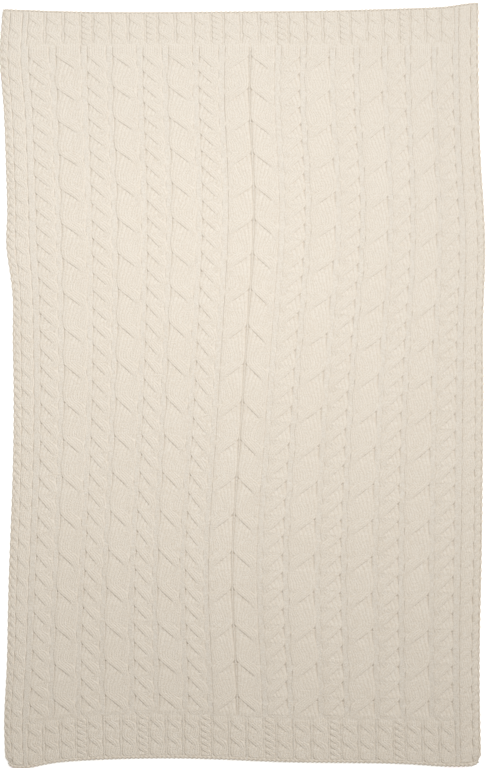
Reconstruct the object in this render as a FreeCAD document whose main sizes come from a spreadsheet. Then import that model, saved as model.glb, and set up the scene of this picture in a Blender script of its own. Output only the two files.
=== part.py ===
import FreeCAD, Part
import os

import Sketcher

# Cable-knit throw, spread out flat.
#
# The throw is one knitted sheet.  Across it lie sixteen cable columns, a mirror pair
# at a time from the centre line out: the centre cable, then ropes and wide cables in
# turn.  A side band and a selvedge chain close each long side, a ribbed band and an
# edge chain close each end.  Neighbouring strips meet face to face in the purl
# channels between the cables.
#
# Frame: +X across the throw, +Y along it, +Z up, origin under its middle.
# Lengths are millimetres, and the knitting itself is the ruler: widths are counted in
# wales (stitch columns) and lengths in courses (stitch rows).

doc = FreeCAD.newDocument("cable_knit_throw")

# ---------------------------------------------------------------- driving dimensions

DIMENSIONS = [
    ("wale_pitch", 5.28, "width of one stitch"),
    ("course_pitch", 4.15, "height of one stitch"),
    ("rope_wales", 8, "a rope is four stitches over four"),
    ("wide_wales", 10, "a wide cable is five stitches over five"),
    ("rib_wales", 4, "a raised rib in the end bands"),
    ("rope_cell_wales", 11, "rope and half the purl channel on each side"),
    ("wide_cell_wales", 13, "wide cable and half the purl channel on each side"),
    ("centre_cell_wales", 12, "centre cable, half channel outside, half a stitch inside"),
    ("band_wales", 10, "side band without its selvedge"),
    ("selvedge_wales", 1, "chain along each long side"),
    ("channel_wales", 1.5, "half of a purl channel"),
    ("centre_channel_wales", 0.5, "half of the narrow channel on the centre line"),
    ("lower_band_courses", 24, "ribbed band at the cast-on end"),
    ("field_courses", 378, "cabled field between the two ribbed bands"),
    ("upper_band_courses", 21, "ribbed band at the bind-off end"),
    ("cast_on_depth", 6, "edge chain at the lower end"),
    ("bind_off_depth", 5, "edge chain at the upper end"),
    ("rope_courses", 10, "from one crossing of a rope to the next"),
    ("wide_courses", 20, "from one crossing of a wide cable to the next"),
    ("rope_lobes", 37, "strand lobes along a rope"),
    ("wide_lobes", 18, "strand lobes along a wide cable"),
    ("ribs", 27, "ribs across an end band"),
    ("ground_thickness", 4, "purl ground"),
    ("core_thickness", 5.5, "cable where one strand dips under the other"),
    ("rope_thickness", 7.5, "crown of a rope strand"),
    ("wide_thickness", 8, "crown of a wide cable strand"),
    ("rib_thickness", 5.5, "crown of a rib"),
    ("edge_thickness", 5, "crown of an edge chain"),
    ("lobe_gap", 6, "dip between one strand lobe and the next"),
    ("strand_taper", 20, "slope of a strand's flank, in degrees"),
]

sizes = doc.addObject("Spreadsheet::Sheet", "Sizes")
for row, (alias, value, note) in enumerate(DIMENSIONS, start=1):
    sizes.set("A%d" % row, alias)
    sizes.set("B%d" % row, str(value))
    sizes.set("C%d" % row, note)
    sizes.setAlias("B%d" % row, alias)
doc.recompute()

WALE = "Sizes.wale_pitch"
COURSE = "Sizes.course_pitch"
BAND_LENGTH = "(Sizes.lower_band_courses + Sizes.field_courses + Sizes.upper_band_courses)"
KNIT_LENGTH = "%s * %s" % (BAND_LENGTH, COURSE)
FULL_LENGTH = "(%s + Sizes.cast_on_depth + Sizes.bind_off_depth)" % KNIT_LENGTH
# Heights up the throw, from its lower end, of the things that start there.
LOWER_END = "-%s / 2" % FULL_LENGTH
BAND_START = "%s + Sizes.cast_on_depth" % LOWER_END
FIELD_START = "%s + Sizes.lower_band_courses * %s" % (BAND_START, COURSE)
UPPER_BAND_START = "%s + Sizes.field_courses * %s" % (FIELD_START, COURSE)
UPPER_END_START = "%s + Sizes.upper_band_courses * %s" % (UPPER_BAND_START, COURSE)
# Half of the field's width, from the centre line to a side band, in wales.
FIELD_HALF = "(Sizes.centre_cell_wales + 4 * Sizes.rope_cell_wales + 3 * Sizes.wide_cell_wales)"
BAND_OUTER = "(%s + Sizes.band_wales)" % FIELD_HALF
SELVEDGE_OUTER = "(%s + Sizes.selvedge_wales)" % BAND_OUTER

parts = []


# ---------------------------------------------------------------- building helpers


def new_strip(label, left, bottom):
    """Body whose own origin is the lower left corner of one strip of the throw."""
    body = doc.addObject("PartDesign::Body", label)
    body.Label = label
    body.setExpression("Placement.Base.x", left)
    body.setExpression("Placement.Base.y", bottom)
    parts.append(body)
    return body


def origin_plane(body, role):
    """One of the body's own origin planes."""
    return next(f for f in body.Origin.OriginFeatures if f.Role == role)


def four_sided(body, name, corners, sizes_by_name):
    """Sketch of a closed four-sided outline, its upright sides vertical.

    corners are the outline's points, lower left first and then clockwise, and
    sizes_by_name gives the expression of each named distance.
    """
    sketch = body.newObject("Sketcher::SketchObject", name)
    sketch.AttachmentSupport = [(origin_plane(body, "XY_Plane"), "")]
    sketch.MapMode = "FlatFace"
    points = [FreeCAD.Vector(x, y, 0) for x, y in corners]
    for start, end in zip(points, points[1:] + points[:1]):
        sketch.addGeometry(Part.LineSegment(start, end), False)
    for side in range(4):
        sketch.addConstraint(Sketcher.Constraint("Coincident", side, 2, (side + 1) % 4, 1))
    sketch.addConstraint(Sketcher.Constraint("Vertical", 0))
    sketch.addConstraint(Sketcher.Constraint("Vertical", 2))
    for size_name, (kind, first, second, expression) in sizes_by_name.items():
        constraint = Sketcher.Constraint(kind, *first, *second, 10.0)
        sketch.addConstraint(constraint)
        index = sketch.ConstraintCount - 1
        sketch.renameConstraint(index, size_name)
        sketch.setExpression("Constraints.%s" % size_name, expression)
    return sketch


ORIGIN = (-1, 1)


def rectangle(body, name, left, width, bottom, height):
    """Sketch of a rectangle placed by its lower left corner."""
    corners = [(1, 1), (1, 11), (11, 11), (11, 1)]
    distances = {
        "left": ("DistanceX", ORIGIN, (0, 1), left),
        "width": ("DistanceX", (0, 1), (2, 2), width),
        "bottom": ("DistanceY", ORIGIN, (0, 1), bottom),
        "height_left": ("DistanceY", (0, 1), (0, 2), height),
        "height_right": ("DistanceY", (2, 2), (2, 1), height),
        "bottom_right": ("DistanceY", ORIGIN, (2, 2), bottom),
    }
    return four_sided(body, name, corners, distances)


def leaning_lobe(body, name, left, width, low, length, rise, leans):
    """Sketch of one strand lobe: upright sides, with one side higher than the other.

    leans is "right_down" for a strand that falls to the right on its way down the
    throw's face, and "left_down" for its mirror image.
    """
    high = "%s + %s" % (low, rise)
    left_low, right_low = (high, low) if leans == "right_down" else (low, high)
    corners = [(1, 6), (1, 16), (11, 11), (11, 1)]
    distances = {
        "left": ("DistanceX", ORIGIN, (0, 1), left),
        "width": ("DistanceX", (0, 1), (2, 2), width),
        "low_left": ("DistanceY", ORIGIN, (0, 1), left_low),
        "low_right": ("DistanceY", ORIGIN, (2, 2), right_low),
        "length_left": ("DistanceY", (0, 1), (0, 2), length),
        "length_right": ("DistanceY", (2, 2), (2, 1), length),
    }
    return four_sided(body, name, corners, distances)


def pad(body, sketch, name, thickness, taper=None):
    """Pad a sketch up from the underside of the throw."""
    feature = body.newObject("PartDesign::Pad", name)
    feature.Profile = sketch
    feature.setExpression("Length", thickness)
    if taper:
        feature.setExpression("TaperAngle", "-%s" % taper)
    body.Tip = feature
    return feature


def repeat(body, feature, name, direction, step, count):
    """Repeat a feature along one axis of its sketch."""
    pattern = body.newObject("PartDesign::LinearPattern", name)
    pattern.Originals = [feature]
    pattern.Direction = (feature.Profile[0], [direction])
    pattern.setExpression("Occurrences", count)
    pattern.setExpression("Length", "%s * (%s - 1)" % (step, count))
    body.Tip = pattern
    return pattern


def plain_strip(label, left, width, bottom, height, thickness):
    """Strip of knitting with a plain rectangular ground, returned as its body."""
    body = new_strip(label, left, bottom)
    ground = rectangle(body, "%s_ground_outline" % label, "0", width, "0", height)
    pad(body, ground, "%s_ground" % label, thickness)
    return body


# ---------------------------------------------------------------- cable columns


def cable_column(label, inner, cell, kind, side, leans, inner_margin="Sizes.channel_wales"):
    """One knitted column: purl ground, the cable's core and its row of strand lobes.

    inner is how far the column's inner edge is from the centre line and cell its own
    width, both in wales; kind is "rope" or "wide"; side is -1 for the left half and 1
    for the right; inner_margin is the purl between the inner edge and the cable.
    """
    wales = "Sizes.%s_wales" % kind
    if side > 0:
        left = "%s * %s" % (inner, WALE)
        margin = inner_margin
    else:
        left = "-(%s + %s) * %s" % (inner, cell, WALE)
        margin = "(%s - %s - %s)" % (cell, wales, inner_margin)
    width = "%s * %s" % (cell, WALE)
    height = "Sizes.field_courses * %s" % COURSE
    body = plain_strip(label, left, width, FIELD_START, height, "Sizes.ground_thickness")

    cable_left = "%s * %s" % (margin, WALE)
    cable_width = "%s * %s" % (wales, WALE)
    core = rectangle(body, "%s_core_outline" % label, cable_left, cable_width, "0", height)
    pad(body, core, "%s_core" % label, "Sizes.core_thickness")

    step = "(Sizes.%s_courses * %s)" % (kind, COURSE)
    count = "Sizes.%s_lobes" % kind
    length = "%s - Sizes.lobe_gap" % step
    rise = "%s / 2" % step
    row_length = "(%s * %s - Sizes.lobe_gap + %s)" % (step, count, rise)
    low = "(%s - %s) / 2" % (height, row_length)
    outline_name = "%s_lobe_outline" % label
    outline = leaning_lobe(body, outline_name, cable_left, cable_width, low, length, rise, leans)
    lobe = pad(body, outline, "%s_lobe" % label, "Sizes.%s_thickness" % kind, "Sizes.strand_taper")
    repeat(body, lobe, "%s_lobes" % label, "V_Axis", step, count)


for side, side_name in ((-1, "left"), (1, "right")):
    # The centre pair leans outward on its way down, every other cable inward.
    outward, inward = ("left_down", "right_down") if side < 0 else ("right_down", "left_down")
    cable_column(
        "centre_cable_%s" % side_name,
        "0",
        "Sizes.centre_cell_wales",
        "wide",
        side,
        outward,
        "Sizes.centre_channel_wales",
    )
    for number in range(1, 5):
        ropes = "%d * Sizes.rope_cell_wales" % (number - 1)
        wides = "%d * Sizes.wide_cell_wales" % (number - 1)
        rope_inner = "(Sizes.centre_cell_wales + %s + %s)" % (ropes, wides)
        rope_label = "rope_cable_%s_%d" % (side_name, number)
        cable_column(rope_label, rope_inner, "Sizes.rope_cell_wales", "rope", side, inward)
        if number == 4:
            break
        wide_inner = "(%s + Sizes.rope_cell_wales)" % rope_inner
        wide_label = "wide_cable_%s_%d" % (side_name, number)
        cable_column(wide_label, wide_inner, "Sizes.wide_cell_wales", "wide", side, inward)


# ---------------------------------------------------------------- side bands


def side_band(label, side):
    """Band along a long side, the whole length of the knitting, with two raised ribs."""
    left = "%s * %s" % (FIELD_HALF, WALE) if side > 0 else "-%s * %s" % (BAND_OUTER, WALE)
    width = "Sizes.band_wales * %s" % WALE
    body = plain_strip(label, left, width, BAND_START, KNIT_LENGTH, "Sizes.ground_thickness")
    rib_width = "Sizes.rib_wales * %s" % WALE
    gap = "(%s - 2 * %s) / 3" % (width, rib_width)
    rib = rectangle(body, "%s_rib_outline" % label, gap, rib_width, "0", KNIT_LENGTH)
    first_rib = pad(body, rib, "%s_rib" % label, "Sizes.rib_thickness")
    repeat(body, first_rib, "%s_ribs" % label, "H_Axis", "(%s + %s)" % (gap, rib_width), "2")


def selvedge(label, side):
    """Chain of edge stitches outside a side band."""
    inner = "%s * %s" % (BAND_OUTER, WALE)
    left = inner if side > 0 else "-%s * %s" % (SELVEDGE_OUTER, WALE)
    width = "Sizes.selvedge_wales * %s" % WALE
    plain_strip(label, left, width, BAND_START, KNIT_LENGTH, "Sizes.edge_thickness")


for side, side_name in ((-1, "left"), (1, "right")):
    side_band("side_band_%s" % side_name, side)
    selvedge("selvedge_%s" % side_name, side)


# ---------------------------------------------------------------- end bands and edges


def end_band(label, bottom, courses):
    """Ribbed band across one end, between the two side bands."""
    width = "2 * %s * %s" % (FIELD_HALF, WALE)
    height = "%s * %s" % (courses, COURSE)
    left = "-%s * %s" % (FIELD_HALF, WALE)
    body = plain_strip(label, left, width, bottom, height, "Sizes.ground_thickness")
    rib_width = "Sizes.rib_wales * %s" % WALE
    step = "(%s / Sizes.ribs)" % width
    rib_left = "(%s - %s) / 2" % (step, rib_width)
    rib = rectangle(body, "%s_rib_outline" % label, rib_left, rib_width, "0", height)
    first_rib = pad(body, rib, "%s_rib" % label, "Sizes.rib_thickness")
    repeat(body, first_rib, "%s_ribs" % label, "H_Axis", step, "Sizes.ribs")


def end_edge(label, bottom, depth):
    """Edge chain right across one end of the throw."""
    width = "2 * %s * %s" % (SELVEDGE_OUTER, WALE)
    left = "-%s * %s" % (SELVEDGE_OUTER, WALE)
    plain_strip(label, left, width, bottom, depth, "Sizes.edge_thickness")


end_band("lower_band", BAND_START, "Sizes.lower_band_courses")
end_band("upper_band", UPPER_BAND_START, "Sizes.upper_band_courses")
end_edge("cast_on_edge", LOWER_END, "Sizes.cast_on_depth")
end_edge("bind_off_edge", UPPER_END_START, "Sizes.bind_off_depth")

# ---------------------------------------------------------------- check and write

doc.recompute()

for item in doc.Objects:
    if "Invalid" in item.State or "Error" in item.State:
        raise RuntimeError("%s did not compute: %s" % (item.Label, item.State))
for body in parts:
    shape = body.Shape
    if shape.isNull() or not shape.isValid() or len(shape.Solids) != 1:
        raise RuntimeError("%s is not one valid solid" % body.Label)

os.makedirs("parts", exist_ok=True)
for body in parts:
    body.Shape.exportStep("parts/%s.step" % body.Label)
    box = body.Shape.BoundBox
    print(
        "%-22s x %7.1f..%7.1f  y %7.1f..%7.1f  z %4.1f..%4.1f  %8.0f mm3"
        % (body.Label, box.XMin, box.XMax, box.YMin, box.YMax, box.ZMin, box.ZMax, body.Shape.Volume)
    )
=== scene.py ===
"""Cable-knit throw laid out flat and open, built stitch by stitch around its fixed frame.

The knitting is drawn in its own units: wales (stitch columns, counted from the centre
line, positive to the right) and courses (stitch rows, counted down the throw from the
bind-off end).  A Lay then says where each stitch ends up on the floor, because a soft
throw never lies quite square.
"""

from __future__ import annotations

import logging
import math
from dataclasses import dataclass, field
from enum import Enum
from typing import Any

import bpy
import numpy as np
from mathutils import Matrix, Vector

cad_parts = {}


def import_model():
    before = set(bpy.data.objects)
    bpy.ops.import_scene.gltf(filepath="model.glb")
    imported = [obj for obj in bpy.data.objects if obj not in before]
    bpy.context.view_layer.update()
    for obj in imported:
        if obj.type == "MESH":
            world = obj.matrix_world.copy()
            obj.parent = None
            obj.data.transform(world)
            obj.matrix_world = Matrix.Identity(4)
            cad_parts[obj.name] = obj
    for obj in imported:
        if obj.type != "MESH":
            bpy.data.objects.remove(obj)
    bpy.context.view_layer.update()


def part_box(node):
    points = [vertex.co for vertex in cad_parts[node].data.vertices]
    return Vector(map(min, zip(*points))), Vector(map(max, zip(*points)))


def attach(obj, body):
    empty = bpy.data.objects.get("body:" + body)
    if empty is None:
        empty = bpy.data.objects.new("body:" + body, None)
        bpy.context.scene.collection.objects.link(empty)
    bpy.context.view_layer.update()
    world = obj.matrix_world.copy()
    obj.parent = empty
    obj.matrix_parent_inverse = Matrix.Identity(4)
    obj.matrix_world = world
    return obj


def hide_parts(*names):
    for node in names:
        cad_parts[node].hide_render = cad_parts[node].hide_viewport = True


LOG = logging.getLogger("throw")
MM = 0.001
NOISE_ROUGHNESS = 0.55


# ------------------------------------------------------------------ shader expressions


class Shade:
    """One number socket of a material's nodes, with arithmetic that adds nodes."""

    def __init__(self, paint: Paint, socket: bpy.types.NodeSocket) -> None:
        """Wrap a socket.

        Args:
            paint: The material being painted.
            socket: The output socket that holds the value.
        """
        self.paint = paint
        self.socket = socket

    def _join(self, operation: str, left: Any, right: Any) -> Shade:
        """Add the Math node for one operation.

        Args:
            operation: Math operation.
            left: First number or expression.
            right: Second number or expression.

        Returns:
            The result as a new expression.
        """
        return self.paint.node("ShaderNodeMath", {"operation": operation}, {0: left, 1: right})

    def __add__(self, other: Any) -> Shade:
        """self + other."""
        return self._join("ADD", self, other)

    def __radd__(self, other: Any) -> Shade:
        """other + self."""
        return self._join("ADD", other, self)

    def __sub__(self, other: Any) -> Shade:
        """self - other."""
        return self._join("SUBTRACT", self, other)

    def __rsub__(self, other: Any) -> Shade:
        """other - self."""
        return self._join("SUBTRACT", other, self)

    def __mul__(self, other: Any) -> Shade:
        """self * other."""
        return self._join("MULTIPLY", self, other)

    def __rmul__(self, other: Any) -> Shade:
        """other * self."""
        return self._join("MULTIPLY", other, self)

    def math(self, operation: str, other: float = 0.0) -> Shade:
        """Any one-input or two-input Math operation.

        Args:
            operation: Math operation, such as "SINE" or "ABSOLUTE".
            other: Second value, where the operation has one.

        Returns:
            The result as a new expression.
        """
        return self._join(operation, self, other)


class Paint:
    """Builder of one material's nodes."""

    def __init__(self, name: str) -> None:
        """Start an empty node tree.

        Args:
            name: The material's name.
        """
        self.material = bpy.data.materials.new(name)
        self.material.use_nodes = True
        self.tree = self.material.node_tree
        self.tree.nodes.clear()

    def node(
        self,
        node_type: str,
        settings: dict[str, Any] | None = None,
        inputs: dict[int | str, Any] | None = None,
        output: int | str = 0,
    ) -> Shade:
        """Add one node.

        Args:
            node_type: Blender's name for the node.
            settings: Properties set before any socket.
            inputs: Values or links by socket name or number.
            output: Which output to return.

        Returns:
            The chosen output as an expression.
        """
        made = self.tree.nodes.new(node_type)
        for key, value in (settings or {}).items():
            setattr(made, key, value)
        for key, value in (inputs or {}).items():
            if isinstance(value, Shade):
                self.tree.links.new(value.socket, made.inputs[key])
            else:
                made.inputs[key].default_value = value
        return Shade(self, made.outputs[output])

    def blend(self, amount: Any, first: Any, second: Any) -> Shade:
        """Mix two colours.

        Args:
            amount: 0 for the first, 1 for the second.
            first: Colour or expression.
            second: Colour or expression.

        Returns:
            The mixed colour.
        """
        # A Mix node has its colours on sockets 6 and 7 and gives the mixed one on output 2.
        settings = {"data_type": "RGBA", "clamp_factor": True}
        return self.node("ShaderNodeMix", settings, {0: amount, 6: first, 7: second}, 2)

    def noise(self, scale: float, detail: float, where: Any) -> Shade:
        """Plain noise from 0 to 1.

        Args:
            scale: Waves per unit.
            detail: Octaves.
            where: Coordinates.

        Returns:
            The noise value.
        """
        inputs = {"Vector": where, "Scale": scale, "Detail": detail, "Roughness": NOISE_ROUGHNESS}
        return self.node("ShaderNodeTexNoise", {}, inputs)

    def close(self, shader: Shade) -> bpy.types.Material:
        """Join the finished shader to the output.

        Args:
            shader: The surface shader.

        Returns:
            The material.
        """
        out = self.tree.nodes.new("ShaderNodeOutputMaterial")
        self.tree.links.new(shader.socket, out.inputs["Surface"])
        return self.material


Colour = tuple[float, float, float, float]

STITCH = "stitch"
PAINTED_SHADE = "painted_shade"


@dataclass(frozen=True)
class YarnFinish:
    """Soft matt cotton yarn, undyed cream.

    Its tone is mottled by wide patches, by slubs along the yarn and by fine heather.  Painted
    shade darkens and warms it towards the cast-on end, and darkens it in its furrows and
    hollows.  Fuzz, heather and the twist of the plies raise it.
    """

    name: str
    lit: Colour = (0.820, 0.768, 0.690, 1.0)
    # A warmer, darker tone: random patches of the yarn, and painted shade towards the cast-on end.
    warm_and_painted_shade: Colour = (0.740, 0.665, 0.565, 1.0)
    # Colour of the painted shade in furrows, hollows and beside the cables.
    painted_shade: Colour = (0.580, 0.500, 0.400, 1.0)
    roughness: float = 0.88
    roughness_spread: float = 0.10
    sheen: float = 0.25
    sheen_roughness: float = 0.6
    specular: float = 0.18
    fuzz_scale: float = 900.0
    fuzz_tone: float = 0.10
    fuzz_height: float = 1.2
    heather_scale: float = 280.0
    heather_tone: float = 3.2
    heather_height: float = 3.2
    patch_scale: float = 7.0
    patch_tone: float = 0.4
    slub_scale: float = 1.3
    slub_tone: float = 0.35
    tone_offset: float = 1.8
    # Painted shade: the yarn darkens and warms a little with each course towards the cast-on end.
    painted_shade_per_course: float = 0.001
    # How strongly the painted shade mask darkens the yarn, and its offset.
    painted_shade_tone: float = 0.85
    painted_shade_offset: float = 0.05
    ply_per_course: float = 2.0
    ply_slant: float = 2.6
    ply_height: float = 0.30
    relief: float = 0.5 * MM
    relief_strength: float = 0.85

    def material(self) -> bpy.types.Material:
        """The finish as a material.

        Returns:
            The new material.
        """
        paint = Paint(self.name)
        place = paint.node("ShaderNodeTexCoord", output="Object")
        stitch = paint.node("ShaderNodeAttribute", {"attribute_name": STITCH}, output="Vector")
        # Mask of painted shade, darkest in furrows and hollows.
        painted_shade = paint.node("ShaderNodeAttribute", {"attribute_name": PAINTED_SHADE}, output="Fac")
        fuzz = paint.noise(self.fuzz_scale, 3.0, place)
        patches = paint.noise(self.patch_scale, 3.0, place)
        slub = paint.noise(self.slub_scale, 2.0, stitch)
        heather = paint.noise(self.heather_scale, 2.0, place)
        wale = paint.node("ShaderNodeSeparateXYZ", {}, {0: stitch})
        course = Shade(paint, wale.socket.node.outputs[1])
        # Random tone from patches, slubs and heather, plus painted shade that darkens and warms
        # towards the cast-on end.
        mottle_and_shade = patches * self.patch_tone + slub * self.slub_tone + heather * self.heather_tone
        mottle_and_shade = mottle_and_shade - self.tone_offset + course * self.painted_shade_per_course
        tone = paint.blend(mottle_and_shade, self.lit, self.warm_and_painted_shade)
        # Painted shade in furrows and hollows, mixed with random tone from the fuzz.
        depth = painted_shade * self.painted_shade_tone + fuzz * self.fuzz_tone - self.painted_shade_offset
        colour = paint.blend(depth, tone, self.painted_shade)

        leg = (wale.math("FRACT") - 0.5).math("ABSOLUTE")
        ply = ((course * self.ply_per_course + leg * self.ply_slant) * math.tau).math("SINE")
        height = ply * self.ply_height + fuzz * self.fuzz_height + heather * self.heather_height
        bump = {"Strength": self.relief_strength, "Distance": self.relief, "Height": height}
        inputs = {
            "Base Color": colour,
            "Roughness": self.roughness + (fuzz - 0.5) * self.roughness_spread,
            "Normal": paint.node("ShaderNodeBump", {}, bump),
            "Sheen Weight": self.sheen,
            "Sheen Roughness": self.sheen_roughness,
            "Specular IOR Level": self.specular,
        }
        return paint.close(paint.node("ShaderNodeBsdfPrincipled", {}, inputs))


@dataclass(frozen=True)
class FloorFinish:
    """Seamless white studio floor that also glows a little."""

    colour: Colour = (0.93, 0.93, 0.93, 1.0)
    roughness: float = 0.8
    specular: float = 0.1
    glow: float = 0.45

    def material(self) -> bpy.types.Material:
        """The finish as a material.

        Returns:
            The new material.
        """
        paint = Paint("studio_floor")
        inputs = {
            "Base Color": self.colour,
            "Roughness": self.roughness,
            "Specular IOR Level": self.specular,
            "Emission Color": self.colour,
            "Emission Strength": self.glow,
        }
        return paint.close(paint.node("ShaderNodeBsdfPrincipled", {}, inputs))


# ------------------------------------------------------------------ the lay of the throw


@dataclass(frozen=True)
class Pull:
    """A soft shift of the knitting around one stitch, fading out like a bell.

    Wide is the reach across in wales and tall the reach down in courses.  The shift is
    in millimetres: side is to the right and down is towards the cast-on end.
    """

    wale: float
    course: float
    wide: float
    tall: float
    side: float = 0.0
    down: float = 0.0

    def strength(self, wales: np.ndarray, courses: np.ndarray) -> np.ndarray:
        """How strongly each stitch feels the pull, from 0 to 1.

        Args:
            wales: Positions across.
            courses: Positions down.

        Returns:
            The strength at each stitch.
        """
        across = (wales - self.wale) / self.wide
        along = (courses - self.course) / self.tall
        return np.exp(-(across**2) - along**2)


# The middle sways from side to side.
SWAY = (
    Pull(18, 8, 55, 40, side=15),
    Pull(26, 120, 72, 75, side=28),
    Pull(-58, 190, 26, 120, side=11),
    Pull(-35, 290, 30, 60, side=5),
    Pull(48, 110, 28, 75, side=6),
    Pull(-5, 318, 62, 72, side=-27),
    Pull(-66, 370, 22, 45, side=-7),
    Pull(-25, 430, 65, 45, side=-10),
)
# The two long edges bow in and out.
LONG_EDGES = (
    Pull(-100, 28, 16, 24, side=-10),
    Pull(-110, 137, 12, 14, side=-7),
    Pull(-110, 170, 12, 14, side=4),
    Pull(-108, 235, 36, 120, side=25),
    Pull(-104, 398, 12, 30, side=-14),
    Pull(-112, 405, 14, 46, side=18),
    Pull(103, 18, 18, 60, side=-13),
    Pull(104, 85, 20, 40, side=-8),
    Pull(106, 175, 14, 30, side=-4),
    Pull(105, 375, 20, 60, side=-7),
)
# Rows of the upper half have crept up or down, most of all left of the centre line.
CREEP = (
    Pull(-48, 182, 62, 112, down=-41),
    Pull(14, 155, 48, 75, down=-19),
    Pull(-50, 88, 60, 38, down=-13),
    Pull(-110, 215, 16, 75, down=-7),
    Pull(-60, -12, 60, 32, down=18),
    Pull(25, -5, 60, 22, down=11),
    Pull(106, 0, 12, 40, down=-9),
    Pull(-98, 90, 16, 35, down=9),
)
# Rows of the lower half have crept less, and some of them the other way.
FOOT = (
    Pull(-104, 388, 22, 40, down=17),
    Pull(-30, 425, 50, 70, down=-10),
    Pull(-40, 275, 40, 30, down=-6),
    Pull(-98, 345, 16, 60, down=10),
    Pull(-96, 424, 9, 14, down=7),
    Pull(85, 350, 40, 60, down=9),
    Pull(18, 390, 28, 35, down=5),
    Pull(95, 430, 18, 25, down=8),
)


@dataclass(frozen=True)
class Lay:
    """Where each stitch of the throw ends up on the floor.

    The knitting would be a true rectangle, but hands have laid it down: its middle
    sways, its long edges bow, and its left half has crept towards the bind-off end.
    The corners are radii in metres and the ripples heights in millimetres.
    """

    wale: float
    course: float
    head: float
    half_wales: float
    courses: float
    pulls: tuple[Pull, ...] = SWAY + LONG_EDGES + CREEP + FOOT
    lower_corner: float = 26 * MM
    upper_corner: float = 7 * MM
    slow_ripple: float = 1.1
    quick_ripple: float = 0.6

    def rise(self, x: np.ndarray, y: np.ndarray) -> np.ndarray:
        """Height of the throw's slow ripples above the floor.

        Args:
            x: Place across, in metres.
            y: Place along, in metres.

        Returns:
            Heights in metres, never negative.
        """
        # Crossed waves, in radians per metre, so that no ripple repeats down the throw.
        slow = 0.5 + 0.5 * np.sin(9.1 * x + 3.7 * y + 0.6) * np.cos(5.3 * y - 4.2 * x + 1.1)
        quick = 0.5 + 0.5 * np.sin(17.0 * x - 11.0 * y + 2.0) * np.sin(13.0 * y + 6.0 * x)
        return (self.slow_ripple * slow + self.quick_ripple * quick) * MM

    def round_corners(self, x: np.ndarray, y: np.ndarray) -> tuple[np.ndarray, np.ndarray]:
        """Pull the four corners in to soft curves.

        Args:
            x: Place across before rounding.
            y: Place along before rounding.

        Returns:
            The rounded places.
        """
        half_x = self.half_wales * self.wale
        half_y = self.courses * self.course / 2
        radius = np.where(y < 0, self.lower_corner, self.upper_corner)
        over_x = np.maximum(np.abs(x) - half_x + radius, 0)
        over_y = np.maximum(np.abs(y) - half_y + radius, 0)
        far = np.hypot(over_x, over_y)
        shrink = np.where(far > 0, np.maximum(over_x, over_y) / np.maximum(far, 1e-9), 1.0)
        new_x = np.sign(x) * (np.abs(x) - over_x * (1 - shrink))
        new_y = np.sign(y) * (np.abs(y) - over_y * (1 - shrink))
        return new_x, new_y

    def place(self, wales: np.ndarray, courses: np.ndarray, height: np.ndarray) -> np.ndarray:
        """Lay stitches on the floor.

        Args:
            wales: Positions across.
            courses: Positions down.
            height: Heights above the underside, in metres.

        Returns:
            Points in metres, one row each.
        """
        x, y = self.round_corners(wales * self.wale, self.head - courses * self.course)
        for pull in self.pulls:
            strength = pull.strength(wales, courses) * MM
            x = x + pull.side * strength
            y = y - pull.down * strength
        return np.stack([x, y, height + self.rise(x, y)], axis=1)


# ------------------------------------------------------------------ meshes


def ease(t: np.ndarray) -> np.ndarray:
    """Smooth step from 0 to 1 as t goes from 0 to 1."""
    t = np.clip(t, 0, 1)
    return t * t * (3 - 2 * t)


# A knit stitch: how far its legs slant, in courses, how high they stand and how much of
# that beats from course to course, and how deep and narrow the valley between them is.
LEG_SLANT = 0.55
LEG_HEIGHT = 0.72
LEG_BEAT = 0.28
VALLEY_DEPTH = 0.22
VALLEY_NARROWNESS = 2.2


def knit_relief(wales: np.ndarray, courses: np.ndarray) -> np.ndarray:
    """Height of plain knit stitches: a V of two legs in each wale.

    Args:
        wales: Positions across, whole numbers in the furrows between wales.
        courses: Positions down.

    Returns:
        Height from 0 in a furrow to about 1 on a leg.
    """
    across = np.abs(wales - np.floor(wales) - 0.5) * 2
    furrow = np.sqrt(np.clip(1 - across**2, 0, 1))
    leg = 0.5 + 0.5 * np.cos(math.tau * (courses + LEG_SLANT * across))
    valley = VALLEY_DEPTH * np.clip(1 - across * VALLEY_NARROWNESS, 0, 1)
    return furrow * (LEG_HEIGHT + LEG_BEAT * leg) - valley


def purl_relief(wales: np.ndarray, courses: np.ndarray) -> np.ndarray:
    """Height of purl stitches: interlocked bumps lying across the throw.

    Args:
        wales: Positions across.
        courses: Positions down.

    Returns:
        Height from 0 to 1.
    """
    return 0.5 + 0.5 * np.cos(math.tau * courses) * np.cos(math.tau * wales)


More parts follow.
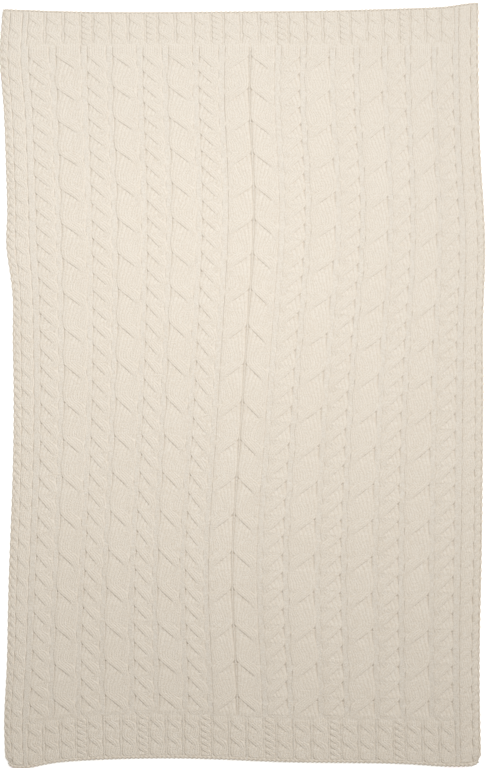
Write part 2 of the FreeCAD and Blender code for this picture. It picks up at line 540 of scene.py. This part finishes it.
@dataclass
class Panel:
    """One piece of the throw while it is being made."""

    name: str
    lay: Lay
    points: list[np.ndarray] = field(default_factory=list)
    stitches: list[np.ndarray] = field(default_factory=list)
    # Painted shade of each point, 0 to 1.
    painted_shades: list[np.ndarray] = field(default_factory=list)
    faces: list[np.ndarray] = field(default_factory=list)
    creases: list[np.ndarray] = field(default_factory=list)
    count: int = 0

    def add_points(
        self, wales: np.ndarray, courses: np.ndarray, height: np.ndarray, painted_shade: np.ndarray
    ) -> np.ndarray:
        """Add laid stitches.

        Args:
            wales: Positions across, any shape.
            courses: Positions down, same shape.
            height: Heights in metres, same shape.
            painted_shade: How much painted shade darkens each point, 0 to 1, most in a furrow.

        Returns:
            The new points' numbers, in the same shape.
        """
        shape = wales.shape
        flat_wales, flat_courses = wales.ravel(), courses.ravel()
        self.points.append(self.lay.place(flat_wales, flat_courses, height.ravel()))
        self.stitches.append(np.stack([flat_wales, flat_courses, np.zeros(wales.size)], axis=1))
        self.painted_shades.append(np.broadcast_to(painted_shade, shape).ravel())
        numbers = self.count + np.arange(wales.size)
        self.count += wales.size
        return numbers.reshape(shape)

    def add_grid(self, grid: np.ndarray, flip: bool = False) -> None:
        """Face a grid of points with quads.

        Args:
            grid: Point numbers, rows down the throw and columns across.
            flip: Whether the faces look the other way.
        """
        quads = np.stack([grid[:-1, :-1], grid[1:, :-1], grid[1:, 1:], grid[:-1, 1:]], axis=-1)
        quads = quads.reshape(-1, 4)
        self.faces.append(quads[:, ::-1] if flip else quads)

    def add_fan(self, loop: np.ndarray, flip: bool = False) -> None:
        """Close a ring of points with triangles from its first point.

        Args:
            loop: Point numbers round the ring.
            flip: Whether the faces look the other way.
        """
        fan = np.stack([np.full(len(loop) - 2, loop[0]), loop[1:-1], loop[2:]], axis=-1)
        self.faces.append(fan[:, ::-1] if flip else fan)

    def crease(self, ring: np.ndarray) -> None:
        """Keep the edges along a ring of points sharp.

        Args:
            ring: Point numbers in order.
        """
        self.creases.append(np.stack([ring[:-1], ring[1:]], axis=-1))

    def build(self, material: bpy.types.Material) -> bpy.types.Object:
        """Make the piece.

        Args:
            material: Its finish.

        Returns:
            The new object, linked to the scene.
        """
        mesh = bpy.data.meshes.new(self.name)
        points = np.concatenate(self.points)
        sizes = np.concatenate([np.full(len(f), f.shape[1]) for f in self.faces])
        corners = np.concatenate([f.ravel() for f in self.faces])
        mesh.vertices.add(len(points))
        mesh.vertices.foreach_set("co", points.astype(np.float32).ravel())
        mesh.loops.add(len(corners))
        mesh.loops.foreach_set("vertex_index", corners.astype(np.int32))
        mesh.polygons.add(len(sizes))
        mesh.polygons.foreach_set("loop_start", (np.cumsum(sizes) - sizes).astype(np.int32))
        mesh.update(calc_edges=True)
        mesh.shade_smooth()
        stitch = mesh.attributes.new(STITCH, "FLOAT_VECTOR", "POINT")
        stitch.data.foreach_set("vector", np.concatenate(self.stitches).astype(np.float32).ravel())
        # The painted shade mask goes on the mesh for the yarn's colour.
        painted_shade = mesh.attributes.new(PAINTED_SHADE, "FLOAT", "POINT")
        painted_shade.data.foreach_set("value", np.concatenate(self.painted_shades).astype(np.float32))
        if self.creases:
            self._mark_creases(mesh)
        mesh.materials.append(material)
        piece = bpy.data.objects.new(self.name, mesh)
        bpy.context.scene.collection.objects.link(piece)
        return piece

    def _mark_creases(self, mesh: bpy.types.Mesh) -> None:
        """Mark the kept creases as sharp edges.

        Args:
            mesh: The finished mesh.
        """
        ends = np.empty(len(mesh.edges) * 2, np.int32)
        mesh.edges.foreach_get("vertices", ends)
        ends = np.sort(ends.reshape(-1, 2), axis=1).astype(np.int64)
        wanted = np.sort(np.concatenate(self.creases), axis=1).astype(np.int64)
        key = ends[:, 0] * self.count + ends[:, 1]
        sharp = np.isin(key, wanted[:, 0] * self.count + wanted[:, 1])
        mesh.attributes.new("sharp_edge", "BOOLEAN", "EDGE").data.foreach_set("value", sharp)


def zip_rims(
    upper: np.ndarray, upper_at: np.ndarray, lower: np.ndarray, lower_at: np.ndarray
) -> np.ndarray:
    """Triangles that close the wall between two rims of unequal spacing.

    Args:
        upper: Point numbers along the upper rim.
        upper_at: Their positions along the wall.
        lower: Point numbers along the lower rim.
        lower_at: Their positions along the wall.

    Returns:
        Triangles that face right as the rims run down the throw.
    """
    triangles = []
    i, j = 0, 0
    while i < len(upper) - 1 or j < len(lower) - 1:
        upper_next = upper_at[i + 1] if i < len(upper) - 1 else math.inf
        lower_next = lower_at[j + 1] if j < len(lower) - 1 else math.inf
        if upper_next <= lower_next:
            triangles.append((upper[i], lower[j], upper[i + 1]))
            i += 1
        else:
            triangles.append((upper[i], lower[j], lower[j + 1]))
            j += 1
    return np.array(triangles)


# ------------------------------------------------------------------ cables


class Lean(Enum):
    """Which way the strand on top crosses on its way down the throw."""

    RIGHT_DOWN = 1
    LEFT_DOWN = -1


# A shift that keeps the outermost points of a strand inside their own stitch columns.
HAIR = 1e-6
# How many stitch columns wide the rounded shoulder of a strand is.
SHOULDER_WALES = 2.2
# The least a strand's top stands above its foot.
THINNEST = 0.2 * MM


@dataclass(frozen=True)
class Cable:
    """Two knitted strands that cross over each other again and again.

    Places and widths across are in wales and lengths down in courses.  Crown is the top
    of a strand, lift and dip are what the strand on top gains and the one below loses at
    a crossing, and shoulder is how far a rounded edge falls.  Steady is how evenly a
    crossing runs: 0 starts and ends it softly, 1 makes it straight.
    """

    centre: float
    half: float
    strand_wales: int
    start: float
    stop: float
    first: float
    period: float
    crossing: float
    lean: Lean
    crown: float = 5.9 * MM
    lift: float = 1.2 * MM
    dip: float = 1.5 * MM
    shoulder: float = 1.3 * MM
    furrow: float = 1.0 * MM
    foot: float = 1.6 * MM
    buried: float = 3.2 * MM
    crowding: float = 0.42
    bulge: float = 0.05
    steady: float = 0.0
    rows_per_course: int = 3
    per_wale: int = 4
    rise_in: float = 6
    sink_out: float = 6
    tuck: float = 0.02
    # Painted shade at the foot of each strand's walls.
    foot_painted_shade: float = 0.6

    def strand_edges(self, courses: np.ndarray, begins_left: bool) -> dict[str, np.ndarray]:
        """Where one strand runs, as if the lean were RIGHT_DOWN.

        Args:
            courses: Positions down the throw.
            begins_left: Whether the strand is the left one before the first crossing.

        Returns:
            Its left and right edges in half widths from the cable's centre, how much
            each edge is rounded off, and how far it is lifted or dipped (1 to -1).
        """
        begun = courses - (self.first - self.crossing / 2)
        turn = np.floor(begun / self.period)
        since = begun - turn * self.period
        over = (turn % 2 == 0) == begins_left
        before = turn < 0
        # t runs from 0 to 1 through a crossing and stays above 1 until the next one.
        t = since / self.crossing
        go = ease(t) + self.steady * (np.clip(t, 0, 1) - ease(t))
        settle = ease((since - self.crossing) / (0.8 * (self.period - self.crossing)))
        push = self.crowding * (go - settle)
        belly = 1 + self.bulge * (0.5 - 0.5 * np.cos(math.tau * (since / self.period - 0.25)))
        # The strand on top swings from left to right.  The one below fills the left side
        # almost at once and lets go of the right side late, so that no gap opens.
        over_left, over_right = -belly * (1 - go) + push, belly * ease(t * 1.8 + 0.10)
        under_left = -belly * ease(t * 4)
        under_right = belly * (1 - ease((t - 0.30) / 0.70)) + push
        lifted = np.sin(np.pi * np.clip(t, 0, 1)) ** 1.3
        dipped = np.sin(np.pi * np.clip((t - 0.1) / 0.85, 0, 1)) ** 1.3
        # Only the cable's outer edges are rounded off, and each strand has one in turn.
        round_left = np.where(over, 1 - ease((t - 0.85) / 0.25), ease(t * 3))
        round_right = np.where(over, ease((t - 0.45) / 0.45), 1 - ease(t * 1.3))
        first_left = -1.0 if begins_left else 0.0
        return {
            "left": np.where(before, first_left, np.where(over, over_left, under_left)),
            "right": np.where(before, first_left + 1, np.where(over, over_right, under_right)),
            "round_left": np.where(before, float(begins_left), round_left),
            "round_right": np.where(before, 1 - float(begins_left), round_right),
            "lift": np.where(before, 0.0, np.where(over, lifted, -dipped)),
        }

    def alive(self, courses: np.ndarray) -> np.ndarray:
        """How far the cable stands out of the ground at each course, from 0 to 1."""
        head = ease((courses - self.start) / self.rise_in)
        return head * ease((self.stop - courses) / self.sink_out)

    def weave(self, panel: Panel) -> None:
        """Add both strands to a piece.

        Args:
            panel: The piece.
        """
        steps = round((self.stop - self.start) * self.rows_per_course)
        courses = np.linspace(self.start, self.stop, steps + 1)
        for begins_left in (True, False):
            edges = self.strand_edges(courses, begins_left)
            if self.lean is Lean.LEFT_DOWN:
                edges = {
                    "left": -edges["right"],
                    "right": -edges["left"],
                    "round_left": edges["round_right"],
                    "round_right": edges["round_left"],
                    "lift": edges["lift"],
                }
            self._add_strand(panel, courses, edges)

    def _add_strand(self, panel: Panel, courses: np.ndarray, edges: dict[str, np.ndarray]) -> None:
        """Add one strand as a closed tube with a knitted top.

        Args:
            panel: The piece.
            courses: Its rows.
            edges: What strand_edges says of them, already mirrored for the lean.
        """
        across = np.linspace(-1, 1, self.strand_wales * self.per_wale + 1)
        left = self.centre + self.half * (edges["left"] - self.tuck)
        right = self.centre + self.half * (edges["right"] + self.tuck)
        share = (across + 1) / 2
        wales = left[:, None] * (1 - share) + right[:, None] * share
        rows = np.broadcast_to(courses[:, None], wales.shape)
        stitch_wales = np.broadcast_to(share * self.strand_wales, wales.shape)
        knit = knit_relief(stitch_wales + HAIR * (0.5 - share), rows)

        reach = SHOULDER_WALES / self.strand_wales
        fall_left = np.clip((-across - 1 + reach) / reach, 0, 1) ** 2
        fall_right = np.clip((across - 1 + reach) / reach, 0, 1) ** 2
        fall = edges["round_left"][:, None] * fall_left + edges["round_right"][:, None] * fall_right
        lift = edges["lift"]
        lean_share = share if self.lean is Lean.RIGHT_DOWN else 1 - share
        raised = np.maximum(lift, 0)[:, None] * self.lift * (1 - 0.85 * lean_share)
        lowered = np.minimum(lift, 0)[:, None] * self.dip * (0.3 + 0.7 * lean_share)
        alive = self.alive(courses)[:, None]
        height = self.crown + raised + lowered - self.shoulder * fall + self.furrow * (knit - 1)
        height = self.buried + (height - self.buried) * alive
        height = np.maximum(height, self.foot + THINNEST)
        # Painted shade in the furrows between wales and along the rounded edges.
        painted_shade = np.clip((1 - knit) * 0.5 + 0.45 * fall**2, 0, 1)
        top = panel.add_points(wales, rows, height, painted_shade)

        foot = np.full(len(courses), self.foot)
        # Painted shade at the foot.
        shade = np.full(len(courses), self.foot_painted_shade)
        foot_left = panel.add_points(left, courses, foot, shade)
        foot_right = panel.add_points(right, courses, foot, shade)
        tube = np.concatenate([foot_left[:, None], top, foot_right[:, None]], axis=1)
        panel.add_grid(tube)
        panel.add_grid(tube[:, [-1, 0]])
        panel.add_fan(tube[0])
        panel.add_fan(tube[-1], flip=True)
        panel.crease(top[:, 0])
        panel.crease(top[:, -1])


# ------------------------------------------------------------------ purl ground


@dataclass(frozen=True)
class Ground:
    """Closed strip of purl stitches, sunk where a cable stands over it.

    Slope is how many wales the ground takes to sink beside a cable.  Painted shade darkens
    the ground between its purl bumps and where a cable covers it, and most of all in a thin
    line beside each cable.
    """

    left: float
    right: float
    start: float
    stop: float
    cables: tuple[Cable, ...] = ()
    top: float = 4.3 * MM
    relief: float = 1.8 * MM
    sunk: float = 1.8 * MM
    under: float = 0.25 * MM
    under_relief: float = 0.5 * MM
    slope: float = 0.7
    # Painted shade: the thin line beside each cable, between purl bumps, under a cable, and an offset.
    painted_groove_shade: float = 0.15
    stitch_painted_shade: float = 0.50
    sunk_painted_shade: float = 0.2
    painted_shade_offset: float = 0.20
    overlap: float = 0.1
    hidden_share: float = 0.52
    rows_per_course: int = 2
    per_wale: int = 4
    under_per_wale: int = 2

    def _columns(self) -> np.ndarray:
        """Place columns of points: close together where purl shows, wide apart under cables.

        Returns:
            Their positions across.
        """
        fine = np.arange(round(self.left * self.per_wale), round(self.right * self.per_wale) + 1)
        keep = np.ones(len(fine), bool)
        for cable in self.cables:
            hidden = cable.half * self.hidden_share * self.per_wale
            inside = np.abs(fine - cable.centre * self.per_wale) < hidden
            keep &= ~inside | (fine % (2 * self.per_wale) == 0)
        return fine[keep] / self.per_wale

    def weave(self, panel: Panel) -> None:
        """Add the strip to a piece.

        Args:
            panel: The piece.
        """
        columns = self._columns()
        steps = round((self.stop - self.start) * self.rows_per_course)
        rows = np.linspace(self.start, self.stop, steps + 1)
        wales, courses = np.meshgrid(columns, rows)
        purl = purl_relief(wales, courses)
        cover = np.zeros_like(wales)
        for cable in self.cables:
            depth = cable.half + self.overlap - np.abs(wales - cable.centre)
            inside = ease(depth / self.slope + 0.5)
            cover = np.maximum(cover, inside * cable.alive(courses))
        height = (self.top + self.relief * (purl - 0.5)) * (1 - cover) + self.sunk * cover
        # Painted shade between purl bumps, where a cable covers the ground and in a thin line beside
        # each cable.
        painted_shade = self.stitch_painted_shade * (1 - purl) + self.sunk_painted_shade * cover - self.painted_shade_offset
        painted_shade = painted_shade + self.painted_groove_shade * cover * (1 - cover) * 4
        top = panel.add_points(wales, courses, height, np.clip(painted_shade, 0, 1))
        panel.add_grid(top)

        per_wale = self.under_per_wale
        first, last = round(self.left * per_wale), round(self.right * per_wale)
        low_columns = np.arange(first, last + 1) / per_wale
        low_rows = rows[:: self.rows_per_course]
        low_wales, low_courses = np.meshgrid(low_columns, low_rows)
        low_knit = purl_relief(low_wales, low_courses + low_wales)
        low_height = self.under + self.under_relief * (1 - low_knit)
        # Painted shade between the underside's bumps.
        low = panel.add_points(low_wales, low_courses, low_height, 0.3 + 0.4 * (1 - low_knit))
        panel.add_grid(low, flip=True)

        panel.faces.append(zip_rims(top[:, 0], rows, low[:, 0], low_rows)[:, ::-1])
        panel.faces.append(zip_rims(top[:, -1], rows, low[:, -1], low_rows))
        panel.faces.append(zip_rims(top[0], columns, low[0], low_columns))
        panel.faces.append(zip_rims(top[-1], columns, low[-1], low_columns)[:, ::-1])
        for rim in (top[:, 0], top[:, -1], top[0], top[-1], low[:, 0], low[:, -1], low[0], low[-1]):
            panel.crease(rim)


# ------------------------------------------------------------------ edge chains


class Run(Enum):
    """Which way an edge chain runs."""

    ACROSS = "across"
    DOWN = "down"


@dataclass(frozen=True)
class EdgeChain:
    """Rounded chain of loops along one edge, with painted shade between its loops."""

    run: Run
    begin: float
    end: float
    middle: float
    width: float
    thickness: float
    loop: float
    bulge: float
    slant: float = 0.0
    clear: float = 0.15 * MM
    # Painted shade on the chain, darkest between its loops.
    painted_shade: float = 0.55
    painted_shade_beat: float = 0.40
    per_loop: int = 5
    ring: int = 10

    def weave(self, panel: Panel) -> None:
        """Add the chain to a piece.

        Args:
            panel: The piece.
        """
        steps = round((self.end - self.begin) / self.loop * self.per_loop)
        along = np.linspace(self.begin, self.end, steps + 1)[:, None]
        turn = np.linspace(0, math.tau, self.ring, endpoint=False)[None, :]
        beat = np.cos(math.tau * along / self.loop + self.slant * turn)
        swell = 1 + self.bulge * beat
        aside = self.middle + self.width / 2 * swell * np.cos(turn)
        height = self.thickness / 2 * (1 + swell * np.sin(turn)) + self.clear
        along = np.broadcast_to(along, aside.shape)
        across = self.run is Run.ACROSS
        wales, courses = (along, aside) if across else (aside, along)
        # Painted shade, darkest between the loops.
        points = panel.add_points(wales, courses, height, self.painted_shade - self.painted_shade_beat * beat)
        closed = np.concatenate([points, points[:, :1]], axis=1)
        panel.add_grid(closed, flip=not across)
        panel.add_fan(points[0], flip=across)
        panel.add_fan(points[-1], flip=not across)


# ------------------------------------------------------------------ the throw


@dataclass
class Knitting:
    """What every sub-assembly needs: the lay and the finishes."""

    lay: Lay
    cable_yarn: bpy.types.Material
    band_yarn: bpy.types.Material
    edge_yarn: bpy.types.Material

    def piece(
        self,
        name: str,
        node: str,
        slot: str,
        material: bpy.types.Material,
        parts: tuple[Cable | Ground | EdgeChain, ...],
    ) -> bpy.types.Object:
        """Make one piece, ride it on the throw and let it stand for its node.

        Args:
            name: The piece's name.
            node: The frame's node that it stands for.
            slot: Its material slot; not used.
            material: Its finish.
            parts: What it is woven from.

        Returns:
            The piece.
        """
        panel = Panel(name, self.lay)
        for part in parts:
            part.weave(panel)
        made = panel.build(material)
        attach(made, "root")
        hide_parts(node)
        LOG.info("%s: %d points", name, panel.count)
        return made


@dataclass(frozen=True)
class Pattern:
    """Stitch pattern of one kind of cable."""

    cell: float
    half: float
    strand_wales: int
    period: float
    crossing: float
    crown: float
    lift: float
    steady: float


class Kind(Enum):
    """The two kinds of cable in the middle of the throw."""

    ROPE = Pattern(11, 4.0, 4, 10, 9.5, 5.8 * MM, 1.0 * MM, 0.35)
    WIDE = Pattern(13, 5.0, 5, 20, 11, 6.0 * MM, 1.2 * MM, 0.0)


@dataclass(frozen=True)
class CableColumn:
    """A cable and the purl ground around it.

    Inner is the wale where the ground begins on the side of the centre line, cell is the
    ground's width and margin the purl between that wale and the cable.
    """

    node: str
    inner: float
    cell: float
    margin: float
    bulge: float
    side: int
    lean: Lean
    kind: Kind
    field_start: float
    field_stop: float
    first_crossing: float = 11
    reach: float = 3.5

    def cable(self) -> Cable:
        """Work out the column's cable.

        Returns:
            The cable, which runs a little way under the two end bands.
        """
        pattern = self.kind.value
        return Cable(
            centre=self.side * (self.inner + self.margin + pattern.half),
            half=pattern.half,
            strand_wales=pattern.strand_wales,
            start=self.field_start - self.reach,
            stop=self.field_stop + self.reach,
            first=self.field_start + self.first_crossing,
            period=pattern.period,
            crossing=pattern.crossing,
            lean=self.lean,
            crown=pattern.crown,
            lift=pattern.lift,
            crowding=0.5,
            bulge=self.bulge,
            steady=pattern.steady,
        )

    def build(self, knitting: Knitting) -> None:
        """Make the ground and the cable.

        Args:
            knitting: The lay and finishes.
        """
        edges = sorted((self.side * self.inner, self.side * (self.inner + self.cell)))
        cable = self.cable()
        ground = Ground(edges[0], edges[1], self.field_start, self.field_stop, (cable,))
        yarn = knitting.cable_yarn
        base = knitting.piece(f"{self.node}_ground", self.node, "cable_knit", yarn, (ground,))
        rope = knitting.piece(f"{self.node}_strands", self.node, "cable_knit", yarn, (cable,))


@dataclass(frozen=True)
class SideBand:
    """Band along a long side: a broad rib, a fine twisted cord and the selvedge."""

    side: int
    courses: float
    inner: float = 95
    outer: float = 105
    rib_middle: float = 99.6
    cord_middle: float = 103.8
    selvedge_middle: float = 105.45
    end_gap: float = 0.3

    def build(self, knitting: Knitting) -> None:
        """Make the band and its selvedge.

        Args:
            knitting: The lay and finishes.
        """
        name = "left" if self.side < 0 else "right"
        node = f"side_band_{name}"
        common = {
            "start": self.end_gap,
            "stop": self.courses - self.end_gap,
            "lean": Lean.RIGHT_DOWN if self.side < 0 else Lean.LEFT_DOWN,
            "rise_in": 1.2,
            "sink_out": 1.2,
        }
        rib = Cable(
            centre=self.side * self.rib_middle,
            half=2.7,
            strand_wales=3,
            first=12,
            period=10,
            crossing=6,
            crown=5.7 * MM,
            lift=0.7 * MM,
            dip=1.2 * MM,
            shoulder=1.6 * MM,
            crowding=0.2,
            bulge=0.14,
            **common,
        )
        cord = Cable(
            centre=self.side * self.cord_middle,
            half=1.4,
            strand_wales=2,
            first=4.5,
            period=5,
            crossing=4,
            crown=5.4 * MM,
            lift=0.8 * MM,
            dip=1.4 * MM,
            shoulder=1.8 * MM,
            crowding=0.25,
            **common,
        )
        edges = sorted((self.side * self.inner, self.side * self.outer))
        # The thin line of painted shade beside the rib and the cord is darker here.
        ground = Ground(edges[0], edges[1], 0, self.courses, (rib, cord), painted_groove_shade=0.35)
        chain = EdgeChain(
            run=Run.DOWN,
            begin=0,
            end=self.courses,
            middle=self.side * self.selvedge_middle,
            width=1.1,
            thickness=4.4 * MM,
            loop=4.5,
            bulge=0.3,
        )
        yarn = knitting.band_yarn
        base = knitting.piece(f"{node}_ground", node, "band_knit", yarn, (ground,))
        cords = knitting.piece(f"{node}_cords", node, "band_knit", yarn, (rib, cord))
        edge_node = f"selvedge_{name}"
        edge_yarn = knitting.edge_yarn
        edge = knitting.piece(f"{edge_node}_chain", edge_node, "edge_chain", edge_yarn, (chain,))


@dataclass(frozen=True)
class Rib:
    """Stitch pattern of one kind of rib in an end band."""

    half: float
    strand_wales: int
    lead: float
    period: float
    crossing: float


LOOSE_ROPE = Rib(half=3.1, strand_wales=3, lead=6.0, period=9.5, crossing=6.0)
TIGHT_CORD = Rib(half=2.1, strand_wales=2, lead=2.4, period=3.7, crossing=3.0)


@dataclass(frozen=True)
class EndBand:
    """Ribbed band across one end, with its edge chain.

    Every fourth rib is a tight twisted cord and the others are slower ropes.  Depth is
    how coarse the stitches are beside the upper band's, and opens_up says whether the
    outer edge is the one at the top.
    """

    node: str
    edge_node: str
    start: float
    stop: float
    edge: EdgeChain
    opens_up: bool
    depth: float
    half: float = 95
    cord_cell: float = 5
    ribs: int = 27
    cord_every: int = 4
    edge_reach: float = 0.3
    field_reach: float = 3.5
    edge_fade: float = 1.5
    field_fade: float = 6

    def _rib(self, rib: Rib, centre: float) -> Cable:
        """Work out one rib of the band.

        Args:
            rib: Its stitch pattern.
            centre: Where it stands across.

        Returns:
            The rib as a small cable.
        """
        up = self.opens_up
        return Cable(
            centre=centre,
            half=rib.half,
            strand_wales=rib.strand_wales,
            start=self.start - (self.edge_reach if up else self.field_reach),
            stop=self.stop + (self.field_reach if up else self.edge_reach),
            first=self.start + rib.lead,
            period=rib.period,
            crossing=rib.crossing,
            lean=Lean.RIGHT_DOWN,
            crown=5.5 * MM,
            lift=0.7 * MM,
            dip=1.2 * MM * self.depth,
            shoulder=1.1 * MM * self.depth,
            furrow=1.0 * MM * self.depth,
            crowding=0.25,
            bulge=0.12,
            rows_per_course=4,
            rise_in=self.edge_fade if up else self.field_fade,
            sink_out=self.field_fade if up else self.edge_fade,
        )

    def build(self, knitting: Knitting) -> None:
        """Make the band and its edge.

        Args:
            knitting: The lay and finishes.
        """
        cords_wanted = self.ribs // self.cord_every
        rope_cell = (2 * self.half - cords_wanted * self.cord_cell) / (self.ribs - cords_wanted)
        ribs = []
        reached = -self.half
        for number in range(1, self.ribs + 1):
            tight = number % self.cord_every == 0
            cell = self.cord_cell if tight else rope_cell
            ribs.append(self._rib(TIGHT_CORD if tight else LOOSE_ROPE, reached + cell / 2))
            reached += cell
        relief = 1.8 * MM * self.depth
        ground = Ground(
            -self.half, self.half, self.start, self.stop, tuple(ribs), relief=relief, slope=1.8
        )
        yarn, edge_yarn = knitting.band_yarn, knitting.edge_yarn
        chain_name = f"{self.edge_node}_chain"
        base = knitting.piece(f"{self.node}_ground", self.node, "band_knit", yarn, (ground,))
        cords = knitting.piece(f"{self.node}_ribs", self.node, "band_knit", yarn, tuple(ribs))
        chain = knitting.piece(chain_name, self.edge_node, "edge_chain", edge_yarn, (self.edge,))


@dataclass
class Throw:
    """The whole throw."""

    wales: float = 212
    courses: float = 423
    upper_band: float = 21
    lower_band: float = 24
    centre_cell: float = 12
    centre_margin: float = 0.5
    centre_bulge: float = 0.05
    margin: float = 1.5
    bulge: float = 0.18
    ropes: int = 4

    def lay(self) -> Lay:
        """Work the gauge out from the frame.

        Returns:
            The lay.
        """
        left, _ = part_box("selvedge_left")
        _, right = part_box("selvedge_right")
        return Lay(
            wale=(right.x - left.x) / self.wales,
            course=(right.y - left.y) / self.courses,
            head=right.y,
            half_wales=self.wales / 2,
            courses=self.courses,
        )

    def columns(self) -> list[CableColumn]:
        """Lay the cable columns out from the centre line on each side.

        The two cables at the centre line lean away from each other, the others towards it.

        Returns:
            The sixteen columns.
        """
        found = []
        field = (self.upper_band, self.courses - self.lower_band)
        for side, name in ((-1, "left"), (1, "right")):
            inward, outward = Lean.RIGHT_DOWN, Lean.LEFT_DOWN
            if side > 0:
                inward, outward = outward, inward
            node = f"centre_cable_{name}"
            cell, margin = self.centre_cell, self.centre_margin
            found.append(
                CableColumn(node, 0, cell, margin, self.centre_bulge, side, outward, Kind.WIDE, *field)
            )
            inner = cell
            kinds = [Kind.ROPE, Kind.WIDE] * self.ropes
            for place, kind in enumerate(kinds[:-1]):
                node = f"{kind.name.lower()}_cable_{name}_{place // 2 + 1}"
                cell = kind.value.cell
                found.append(
                    CableColumn(node, inner, cell, self.margin, self.bulge, side, inward, kind, *field)
                )
                inner += cell
        return found

    def build(self) -> None:
        """Make every piece of the throw."""
        yarn = YarnFinish("cable_yarn").material()
        band = YarnFinish("band_yarn").material()
        edge = YarnFinish("edge_yarn").material()
        knitting = Knitting(self.lay(), yarn, band, edge)
        for column in self.columns():
            column.build(knitting)
        for side in (-1, 1):
            SideBand(side, self.courses).build(knitting)
        half = self.wales / 2
        bind_off = EdgeChain(
            run=Run.ACROSS,
            begin=-half,
            end=half,
            middle=-0.5,
            width=1.3,
            thickness=4.6 * MM,
            loop=2.0,
            bulge=0.28,
        )
        cast_on = EdgeChain(
            run=Run.ACROSS,
            begin=-half,
            end=half,
            middle=self.courses + 0.4,
            width=1.6,
            thickness=4.4 * MM,
            loop=2.0,
            bulge=0.30,
            slant=1.0,
        )
        lower_start = self.courses - self.lower_band
        upper = EndBand("upper_band", "bind_off_edge", 0, self.upper_band, bind_off, True, 1.0)
        lower = EndBand("lower_band", "cast_on_edge", lower_start, self.courses, cast_on, False, 1.4)
        upper.build(knitting)
        lower.build(knitting)


# ------------------------------------------------------------------ studio


@dataclass(frozen=True)
class Studio:
    """White floor, a far lamp to the upper right, a near one over the head end, a camera."""

    floor_half: float = 7.0
    floor_drop: float = 0.3 * MM
    camera_height: float = 4.6
    view_length: float = 1.792
    view_middle: tuple[float, float] = (0.0023, 0.0006)
    sensor: float = 36.0
    air_colour: tuple[float, float, float, float] = (1.0, 0.965, 0.905, 1.0)
    air_strength: float = 0.43
    lamp_colour: tuple[float, float, float] = (0.985, 0.99, 1.0)
    key_place: tuple[float, float, float] = (8.0, 6.3, 9.0)
    key_size: float = 2.4
    key_power: float = 800.0
    head_place: tuple[float, float, float] = (-0.10, 0.40, 1.60)
    head_size: float = 1.0
    head_power: float = 15.2

    def floor(self) -> None:
        """Lay the floor."""
        mesh = bpy.data.meshes.new("studio_floor")
        h, z = self.floor_half, -self.floor_drop
        mesh.from_pydata([(-h, -h, z), (h, -h, z), (h, h, z), (-h, h, z)], [], [(0, 1, 2, 3)])
        mesh.materials.append(FloorFinish().material())
        floor = bpy.data.objects.new("studio_floor", mesh)
        bpy.context.scene.collection.objects.link(floor)

    def lamp(self, name: str, place: Vector, aim: Vector, size: float, power: float) -> None:
        """Hang one soft square lamp.

        Args:
            name: Its name.
            place: Where it hangs.
            aim: What it points at.
            size: Its side.
            power: Its power in watts.
        """
        light = bpy.data.lights.new(name, "AREA")
        light.shape = "SQUARE"
        light.size = size
        light.energy = power
        light.color = self.lamp_colour
        lamp = bpy.data.objects.new(name, light)
        lamp.location = place
        lamp.rotation_euler = (aim - place).to_track_quat("-Z", "Y").to_euler()
        bpy.context.scene.collection.objects.link(lamp)

    def light(self) -> None:
        """Light the studio."""
        world = bpy.data.worlds.new("studio_air")
        world.use_nodes = True
        air = world.node_tree.nodes["Background"]
        air.inputs["Color"].default_value = self.air_colour
        air.inputs["Strength"].default_value = self.air_strength
        bpy.context.scene.world = world
        head = Vector(self.head_place)
        self.lamp("key_lamp", Vector(self.key_place), Vector(), self.key_size, self.key_power)
        below = Vector((head.x, head.y, 0.0))
        self.lamp("head_lamp", head, below, self.head_size, self.head_power)
        bpy.context.scene.view_settings.view_transform = "Standard"

    def camera(self) -> None:
        """Hang the camera."""
        data = bpy.data.cameras.new("camera")
        data.sensor_width = self.sensor
        data.lens = self.sensor * self.camera_height / self.view_length
        camera = bpy.data.objects.new("camera", data)
        camera.location = (*self.view_middle, self.camera_height)
        bpy.context.scene.collection.objects.link(camera)
        bpy.context.scene.camera = camera

    def build(self) -> None:
        """Set the studio up."""
        self.floor()
        self.light()
        self.camera()


def main() -> None:
    """Build the throw in its studio."""
    logging.basicConfig(level=logging.INFO, format="%(name)s: %(message)s")
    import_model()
    Studio().build()
    Throw().build()


if __name__ == "__main__":
    main()
